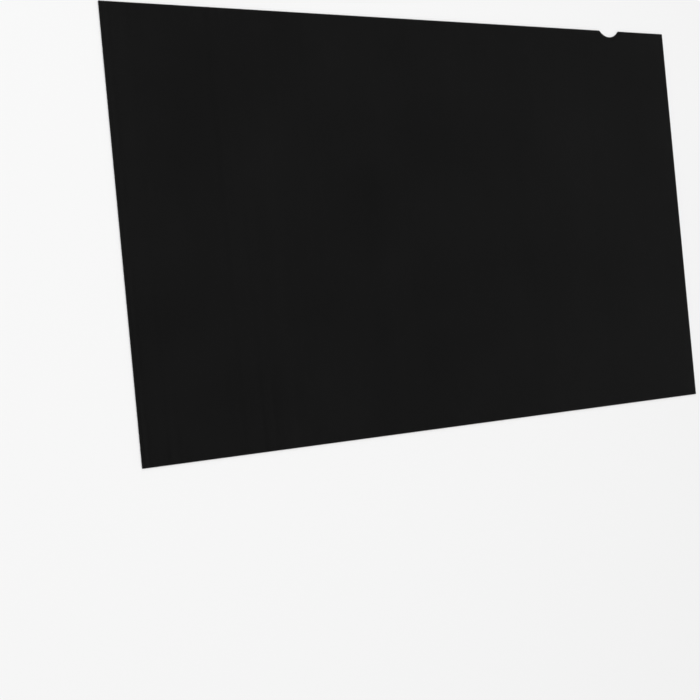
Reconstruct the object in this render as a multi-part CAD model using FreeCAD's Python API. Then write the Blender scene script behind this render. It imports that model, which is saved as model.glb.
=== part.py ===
import FreeCAD, Part
import math
import os

# Privacy filter: one flat sheet of dark louvred film, die-cut to the usual 24-inch 16:9 size, with
# a shallow finger notch in its top edge by which it is lifted away.
# The sheet lies on its rear face. +X runs along the long side, +Y towards the notched edge and
# +Z out of the front face, and the origin is the middle of the rear face. Millimetres.

# Sheet
sheet_width = 531.0
sheet_height = 299.0
sheet_thickness = 0.5
corner_radius = 0.5
rim_round = 0.1  # the cut edge is rolled over by this radius on both faces

# Finger notch
notch_mouth = 21.5  # along the top edge, before the shoulders are rounded
notch_depth = 5.0
notch_to_right_edge = 63.5  # from the middle of the notch
shoulder_radius = 0.4  # where the notch runs out into the top edge

# Places and limits that follow from the sizes
right = sheet_width / 2
top = sheet_height / 2
largest_rim_share = 0.4  # of the thickness, so that the two rims leave a straight wall between them
joined = 1e-6  # points closer than this are one point


def arc(x, y, radius, start, end):
    """Start, middle and end points of an arc about (x, y), with its angles in degrees."""
    turns = [math.radians(angle) for angle in (start, (start + end) / 2, end)]
    return [FreeCAD.Vector(x + radius * math.cos(t), y + radius * math.sin(t), 0) for t in turns]


def outline(arcs):
    """Closed wire through the arcs in turn, with a straight run between two that don't meet."""
    edges = []
    last = arcs[-1][-1]
    for start, middle, end in arcs:
        if last.distanceToPoint(start) > joined:
            edges.append(Part.LineSegment(last, start).toShape())
        edges.append(Part.Arc(start, middle, end).toShape())
        last = end
    return Part.Wire(edges)


def corner(side_x, side_y, start):
    """Quarter round at one outer corner, from its starting angle."""
    x = side_x * (right - corner_radius)
    y = side_y * (top - corner_radius)
    return arc(x, y, corner_radius, start, start + 90)


def finger_notch():
    """The notch from right to left: a rounded shoulder, the long arc and the other shoulder."""
    radius = (notch_mouth**2 / 4 + notch_depth**2) / (2 * notch_depth)
    middle_x = right - notch_to_right_edge
    centre_y = top - notch_depth + radius
    shoulder_y = top - shoulder_radius
    rise = centre_y - shoulder_y
    reach = math.sqrt((radius + shoulder_radius) ** 2 - rise**2)
    dip = math.degrees(math.atan2(rise, reach))  # the arc meets its shoulders this far below level
    return [
        arc(middle_x + reach, shoulder_y, shoulder_radius, 90, 180 - dip),
        arc(middle_x, centre_y, radius, -dip, dip - 180),
        arc(middle_x - reach, shoulder_y, shoulder_radius, dip, 90),
    ]


def filter_sheet():
    """The cut outline at its thickness, with the rim of both faces rolled over."""
    bottom_corners = [corner(-1, -1, 180), corner(1, -1, 270)]
    cut_line = outline(bottom_corners + [corner(1, 1, 0)] + finger_notch() + [corner(-1, 1, 90)])
    blank = Part.Face(cut_line).extrude(FreeCAD.Vector(0, 0, sheet_thickness))
    rims = [edge for edge in blank.Edges if edge.BoundBox.ZLength < sheet_thickness / 2]
    return blank.makeFillet(min(rim_round, sheet_thickness * largest_rim_share), rims)


os.makedirs("parts", exist_ok=True)
sheet = filter_sheet()
sheet.exportStep("parts/filter_sheet.step")
print(f"filter_sheet: {len(sheet.Solids)} solid, {sheet.Volume / 1000:.2f} cm3, {len(sheet.Faces)} faces")
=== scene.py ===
import math

import bmesh
import bpy
from mathutils import Matrix, Quaternion, Vector


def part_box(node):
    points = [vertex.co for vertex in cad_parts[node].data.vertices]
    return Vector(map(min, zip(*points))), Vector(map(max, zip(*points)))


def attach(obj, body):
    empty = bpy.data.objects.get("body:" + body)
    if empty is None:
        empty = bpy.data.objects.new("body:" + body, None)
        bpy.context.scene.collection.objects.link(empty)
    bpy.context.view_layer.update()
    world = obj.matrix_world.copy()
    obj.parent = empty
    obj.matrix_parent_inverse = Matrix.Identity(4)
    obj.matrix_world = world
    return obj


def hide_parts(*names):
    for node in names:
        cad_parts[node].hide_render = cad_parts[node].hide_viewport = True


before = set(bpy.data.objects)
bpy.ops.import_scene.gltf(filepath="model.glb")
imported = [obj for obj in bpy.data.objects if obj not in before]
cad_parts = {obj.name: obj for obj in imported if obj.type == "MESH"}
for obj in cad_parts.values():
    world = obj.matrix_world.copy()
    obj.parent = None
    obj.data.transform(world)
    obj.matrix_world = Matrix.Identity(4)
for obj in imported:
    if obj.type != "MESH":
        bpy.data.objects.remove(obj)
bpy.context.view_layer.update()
sheetLow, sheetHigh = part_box("filter_sheet")
print("frame loaded:", sorted(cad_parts))

scene = bpy.context.scene
scene.view_settings.view_transform = "Standard"


# small helpers for node trees and meshes

def addNode(tree, kind, **settings):
    node = tree.nodes.new(kind)
    for name, value in settings.items():  # a property of the node, or else one of its sockets
        if hasattr(node, name):
            setattr(node, name, value)
        else:
            node.inputs[name].default_value = value
    return node


def addSockets(group, direction, sockets):
    for name, kind in sockets:
        group.interface.new_socket(name=name, in_out=direction, socket_type=kind)


def oneOver(tree, size):
    node = addNode(tree, "ShaderNodeMath", operation="DIVIDE")
    node.inputs[0].default_value = 1.0
    tree.links.new(size, node.inputs[1])
    return node.outputs["Value"]


def toObject(bm, name, materials):
    mesh = bpy.data.meshes.new(name)
    bm.to_mesh(mesh)
    bm.free()
    for material in materials:
        mesh.materials.append(material)
    made = bpy.data.objects.new(name, mesh)
    scene.collection.objects.link(made)
    return made


# the film's own grain: fine streaks along the louvres, soft clouds of haze and a fine tooth

grainLook = {
    "offGrid": (0, 0, 0.5),  # metres: noise fades on the planes of its own grid, and z = 0 is one
    "streaks": {"Scale": 1.0, "Detail": 3.0, "Roughness": 0.6},
    "clouds": {"Detail": 2.0, "Roughness": 0.5},
    "tooth": {"Detail": 2.0, "Roughness": 0.6},
    "span": {"From Min": 0.3, "From Max": 0.7},  # most of a noise texture's values
}


def makeFilmGrain(look):
    group = bpy.data.node_groups.new("filmGrain", "ShaderNodeTree")
    number, colour = "NodeSocketFloat", "NodeSocketColor"
    addSockets(group, "INPUT", [
        ("Deep Tone", colour), ("Pale Tone", colour),
        ("Streak Width", number), ("Streak Length", number),
        ("Cloud Size", number), ("Cloud Share", number), ("Tooth Size", number),
        ("Least Rough", number), ("Most Rough", number),
    ])
    addSockets(group, "OUTPUT", [("Tone", colour), ("Roughness", number), ("Height", number)])
    given = group.nodes.new("NodeGroupInput").outputs
    result = group.nodes.new("NodeGroupOutput").inputs
    link = group.links.new

    shifted = addNode(group, "ShaderNodeMapping", Location=look["offGrid"])
    link(addNode(group, "ShaderNodeTexCoord").outputs["Object"], shifted.inputs["Vector"])
    place = shifted.outputs["Vector"]

    def evenNoise(settings, size):
        noise = addNode(group, "ShaderNodeTexNoise", **settings)
        link(place, noise.inputs["Vector"])
        link(oneOver(group, size), noise.inputs["Scale"])
        return noise.outputs["Fac"]

    perMetre = addNode(group, "ShaderNodeCombineXYZ", Z=1.0)
    link(oneOver(group, given["Streak Width"]), perMetre.inputs["X"])
    link(oneOver(group, given["Streak Length"]), perMetre.inputs["Y"])
    drawnOut = addNode(group, "ShaderNodeVectorMath", operation="MULTIPLY")
    link(place, drawnOut.inputs[0])
    link(perMetre.outputs["Vector"], drawnOut.inputs[1])
    streaks = addNode(group, "ShaderNodeTexNoise", **look["streaks"])
    link(drawnOut.outputs["Vector"], streaks.inputs["Vector"])

    blend = addNode(group, "ShaderNodeMix", data_type="FLOAT")
    link(given["Cloud Share"], blend.inputs["Factor"])
    link(streaks.outputs["Fac"], blend.inputs["A"])
    link(evenNoise(look["clouds"], given["Cloud Size"]), blend.inputs["B"])
    share = addNode(group, "ShaderNodeMapRange", **look["span"])
    link(blend.outputs["Result"], share.inputs["Value"])

    tone = addNode(group, "ShaderNodeMix", data_type="RGBA")
    link(share.outputs["Result"], tone.inputs["Factor"])
    link(given["Deep Tone"], tone.inputs["A"])
    link(given["Pale Tone"], tone.inputs["B"])
    link(tone.outputs["Result"], result["Tone"])

    rough = addNode(group, "ShaderNodeMapRange")
    link(share.outputs["Result"], rough.inputs["Value"])
    link(given["Least Rough"], rough.inputs["To Min"])
    link(given["Most Rough"], rough.inputs["To Max"])
    link(rough.outputs["Result"], result["Roughness"])

    link(evenNoise(look["tooth"], given["Tooth Size"]), result["Height"])
    return group


filmGrain = makeFilmGrain(grainLook)

filmPlastic = {"ior": 1.5, "solid": 0.9}  # solid is the alpha: the film lets a trace of light through


def filmMaterial(name, look):
    material = bpy.data.materials.new(name)
    material.use_nodes = True
    tree = material.node_tree
    shader = tree.nodes["Principled BSDF"].inputs
    shader["IOR"].default_value = filmPlastic["ior"]
    shader["Alpha"].default_value = filmPlastic["solid"]
    shader["Specular IOR Level"].default_value = look["shine"]
    grain = addNode(tree, "ShaderNodeGroup", node_tree=filmGrain)
    for socket, value in look["grain"].items():
        grain.inputs[socket].default_value = value
    bump = addNode(tree, "ShaderNodeBump", Strength=1.0, Distance=look["toothHeight"])
    tree.links.new(grain.outputs["Tone"], shader["Base Color"])
    tree.links.new(grain.outputs["Roughness"], shader["Roughness"])
    tree.links.new(grain.outputs["Height"], bump.inputs["Height"])
    tree.links.new(bump.outputs["Normal"], shader["Normal"])
    return material


frontFilm = filmMaterial("frontFilm", {  # anti-glare side, dull and nearly black, sizes in metres
    "shine": 0.04, "toothHeight": 1e-5,
    "grain": {
        "Deep Tone": (0.0020, 0.0020, 0.0020, 1), "Pale Tone": (0.0092, 0.0092, 0.0092, 1),
        "Streak Width": 0.00015, "Streak Length": 2.0, "Cloud Size": 0.06, "Cloud Share": 0.15,
        "Tooth Size": 0.0006, "Least Rough": 0.36, "Most Rough": 0.48,
    },
})
rearFilm = filmMaterial("rearFilm", {  # smooth side
    "shine": 0.5, "toothHeight": 4e-7,
    "grain": {
        "Deep Tone": (0.0010, 0.0010, 0.0010, 1), "Pale Tone": (0.0050, 0.0050, 0.0051, 1),
        "Streak Width": 0.00015, "Streak Length": 2.0, "Cloud Size": 0.08, "Cloud Share": 0.3,
        "Tooth Size": 0.0012, "Least Rough": 0.08, "Most Rough": 0.13,
    },
})
cutEdge = filmMaterial("cutEdge", {  # die-cut rim, a little dusty
    "shine": 0.25, "toothHeight": 6e-6,
    "grain": {
        "Deep Tone": (0.0035, 0.0035, 0.0037, 1), "Pale Tone": (0.0080, 0.0080, 0.0083, 1),
        "Streak Width": 0.0008, "Streak Length": 0.0008, "Cloud Size": 0.012, "Cloud Share": 0.5,
        "Tooth Size": 0.0003, "Least Rough": 0.5, "Most Rough": 0.65,
    },
})
print("materials made:", [m.name for m in (frontFilm, rearFilm, cutEdge)])


sheetCut = {  # metres
    "notchMouth": 0.0215,  # along the top edge, before its shoulders are rounded
    "notchDepth": 0.005,
    "notchToRight": 0.0635,  # from the notch's middle to the right edge
    "notchSteps": 40,
    "shoulderRadius": 0.0004, "shoulderSteps": 6,
    "cornerRadius": 0.0005, "cornerSteps": 8,
    "rimRound": 0.0001, "rimSteps": 3,
    "cell": 0.03,  # spacing of the cuts across the two faces
    "notchCell": 0.018,  # from the notch's middle, or the top edge, to the cuts around it
    "merge": 1e-6,  # vertices closer than this are one
    "flat": 0.99,  # least upright part of a flat face's normal, more than the rim's steps have
}


def outlineArcs(cut, notchX):
    # anticlockwise from the lower left: centre, radius, start and turn in degrees, steps
    corner, shoulder = cut["cornerRadius"], cut["shoulderRadius"]
    corners, shoulders = cut["cornerSteps"], cut["shoulderSteps"]
    left, right = sheetLow.x + corner, sheetHigh.x - corner
    bottom, top = sheetLow.y + corner, sheetHigh.y - corner

    mouth, depth = cut["notchMouth"], cut["notchDepth"]
    notchRadius = (mouth ** 2 / 4 + depth ** 2) / (2 * depth)
    notchY = sheetHigh.y - depth + notchRadius
    shoulderY = sheetHigh.y - shoulder
    rise = notchY - shoulderY
    reach = math.sqrt((notchRadius + shoulder) ** 2 - rise ** 2)
    dip = math.degrees(math.atan2(rise, reach))  # the arc meets its shoulders this far below level
    return [
        ((left, bottom), corner, 180, 90, corners),
        ((right, bottom), corner, 270, 90, corners),
        ((right, top), corner, 0, 90, corners),
        ((notchX + reach, shoulderY), shoulder, 90, 90 - dip, shoulders),
        ((notchX, notchY), notchRadius, -dip, 2 * dip - 180, cut["notchSteps"]),
        ((notchX - reach, shoulderY), shoulder, dip, 90 - dip, shoulders),
        ((left, top), corner, 90, 90, corners),
    ]


def arcOnward(bm, last, centre, radius, start, turn, steps):
    # a straight run from the last vertex to the arc's start, then the arc
    middle = Vector((*centre, sheetLow.z))
    angle = math.radians(start)
    first = bm.verts.new(middle + radius * Vector((math.cos(angle), math.sin(angle), 0)))
    if last is not None:
        bm.edges.new((last, first))
    spun = bmesh.ops.spin(bm, geom=[first], cent=middle, axis=(0, 0, 1),
                          angle=math.radians(turn), steps=steps)["geom_last"]
    return first, [v for v in spun if isinstance(v, bmesh.types.BMVert)][0]


def drawBlank(bm, arcs, merge):
    first = last = None
    for arc in arcs:
        start, last = arcOnward(bm, last, *arc)
        first = first or start
    bm.edges.new((last, first))
    bmesh.ops.remove_doubles(bm, verts=bm.verts[:], dist=merge)
    bmesh.ops.contextual_create(bm, geom=bm.edges[:])


def evenly(start, end, spacing):
    count = max(1, round((end - start) / spacing))
    return [start + (end - start) * i / count for i in range(1, count)]


def cutAcross(bm, place, normal):
    everything = bm.verts[:] + bm.edges[:] + bm.faces[:]
    bmesh.ops.bisect_plane(bm, geom=everything, plane_co=place, plane_no=normal)


def divideBlank(bm, cut, notchX):
    around = cut["notchCell"]  # the cuts keep clear of the notch
    columns = [notchX - around, notchX + around]
    columns += evenly(sheetLow.x, notchX - around, cut["cell"])
    columns += evenly(notchX + around, sheetHigh.x, cut["cell"])
    rows = [sheetHigh.y - around] + evenly(sheetLow.y, sheetHigh.y - around, cut["cell"])
    for x in columns:
        cutAcross(bm, (x, 0, 0), (1, 0, 0))
    for y in rows:
        cutAcross(bm, (0, y, 0), (0, 1, 0))


def isFlat(face, cut):
    return abs(face.normal.z) > cut["flat"]


def thickenAndRoll(bm, cut):
    grown = bmesh.ops.extrude_face_region(bm, geom=bm.faces[:])["geom"]
    raised = [v for v in grown if isinstance(v, bmesh.types.BMVert)]
    bmesh.ops.translate(bm, verts=raised, vec=(0, 0, sheetHigh.z - sheetLow.z))
    bmesh.ops.recalc_face_normals(bm, faces=bm.faces[:])
    rims = [e for e in bm.edges if isFlat(e.link_faces[0], cut) != isFlat(e.link_faces[1], cut)]
    bmesh.ops.bevel(bm, geom=rims, offset=cut["rimRound"], offset_type="OFFSET", affect="EDGES",
                    segments=cut["rimSteps"], profile=0.5, material=-1)
    bmesh.ops.remove_doubles(bm, verts=bm.verts[:], dist=cut["merge"])
    bmesh.ops.recalc_face_normals(bm, faces=bm.faces[:])


def giveFinishes(bm, cut):
    front, rear, rim = range(3)  # in the order of the sheet's materials
    for face in bm.faces:
        face.smooth = not isFlat(face, cut)
        if face.smooth:
            face.material_index = rim
        else:
            face.material_index = front if face.normal.z > 0 else rear


def makeSheet(name, cut):
    notchX = sheetHigh.x - cut["notchToRight"]
    bm = bmesh.new()
    drawBlank(bm, outlineArcs(cut, notchX), cut["merge"])
    divideBlank(bm, cut, notchX)
    thickenAndRoll(bm, cut)
    giveFinishes(bm, cut)
    return toObject(bm, name, (frontFilm, rearFilm, cutEdge))


sheet = makeSheet("filterSheet", sheetCut)
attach(sheet, "root")
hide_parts("filter_sheet")
print("sheet made:", len(sheet.data.vertices), "vertices,", len(sheet.data.polygons), "faces")


floorLook = {"size": 12.0, "drop": 0.0002, "colour": (0.92, 0.92, 0.92, 1), "roughness": 0.7, "shine": 0.0}


def makeFloor(look):
    material = bpy.data.materials.new("paleFloor")
    material.use_nodes = True
    shader = material.node_tree.nodes["Principled BSDF"].inputs
    shader["Base Color"].default_value = look["colour"]
    shader["Roughness"].default_value = look["roughness"]
    shader["Specular IOR Level"].default_value = look["shine"]
    bm = bmesh.new()
    bmesh.ops.create_grid(bm, x_segments=1, y_segments=1, size=look["size"] / 2)
    bmesh.ops.translate(bm, verts=bm.verts[:], vec=(0, 0, sheetLow.z - look["drop"]))
    toObject(bm, "floor", [material])


makeFloor(floorLook)


lightLook = {
    "surround": {"Color": (1, 1, 1, 1), "Strength": 0.7},  # the world, the same all round
    "softBox": {"place": (-0.4, 0.3, 1.9), "aim": (0, 0, 0), "size": 2.2, "watts": 17},
}


def makeLights(look):
    world = bpy.data.worlds.new("studio")
    scene.world = world
    world.use_nodes = True
    background = world.node_tree.nodes["Background"]
    for socket, value in look["surround"].items():
        background.inputs[socket].default_value = value
    box = look["softBox"]
    lamp = bpy.data.lights.new("softBox", "AREA")
    lamp.shape = "SQUARE"
    lamp.size = box["size"]
    lamp.energy = box["watts"]
    holder = bpy.data.objects.new("softBox", lamp)
    holder.location = box["place"]
    towards = Vector(box["aim"]) - Vector(box["place"])
    holder.rotation_euler = towards.to_track_quat("-Z", "Y").to_euler()
    scene.collection.objects.link(holder)


makeLights(lightLook)
print("floor and light set")


cameraLook = {  # from the middle of the sheet's front face, in metres
    "place": (-0.8130, -0.0883, 0.9337),
    "aim": (-0.0906, -0.0866, 0.0),
    "roll": 5.41,  # degrees from the sheet's own upright
    "lens": 86.92, "sensor": 36.0,  # millimetres
}


def makeCamera(look):
    middle = Vector((0, 0, sheetHigh.z))
    place, aim = middle + Vector(look["place"]), middle + Vector(look["aim"])
    back = (place - aim).normalized()
    side = Vector((0, 1, 0)).cross(back).normalized()
    turn = Quaternion(back, math.radians(-look["roll"]))
    axes = Matrix((turn @ side, turn @ back.cross(side), back)).transposed()
    data = bpy.data.cameras.new("camera")
    data.sensor_width = look["sensor"]
    data.lens = look["lens"]
    camera = bpy.data.objects.new("camera", data)
    camera.matrix_world = Matrix.Translation(place) @ axes.to_4x4()
    scene.collection.objects.link(camera)
    scene.camera = camera


makeCamera(cameraLook)
print("camera set")
